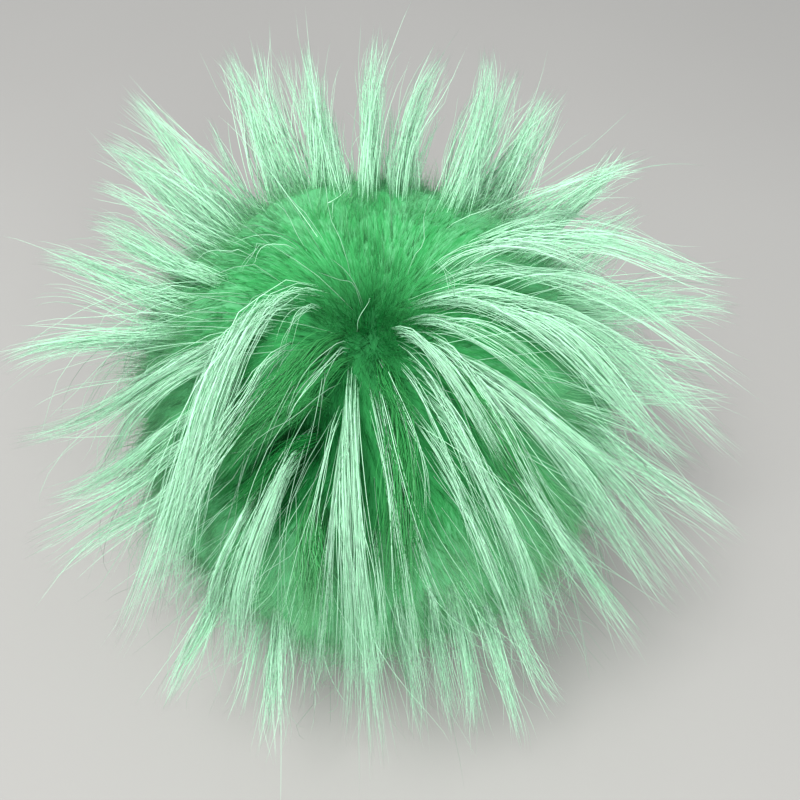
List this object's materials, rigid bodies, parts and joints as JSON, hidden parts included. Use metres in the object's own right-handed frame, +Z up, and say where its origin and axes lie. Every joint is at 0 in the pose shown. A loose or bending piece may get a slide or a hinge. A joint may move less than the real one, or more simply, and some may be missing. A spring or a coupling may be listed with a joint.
{
  "type": "pom pom",
  "caption": "Large fluffy fur pom pom: a round ball of dense green underfur with long pale-tipped guard hairs in pointed locks, resting on a small flat spot.",
  "frame": {"origin": "middle of the base, on the floor under the pom pom", "axes": "+Z up through the crown; -Y is the front, where the longest locks hang from the parting; +X is to the right, seen from the front"},
  "size_m": [0.236, 0.23, 0.1585],
  "materials": {
    "fur": "dyed long-haired fur: dense mid-green underfur, straight guard hairs in locks, green at the root and pale mint at the tip"
  },
  "bodies": {
    "root": {"pom_pom": "fur"}
  },
  "joints": []
}
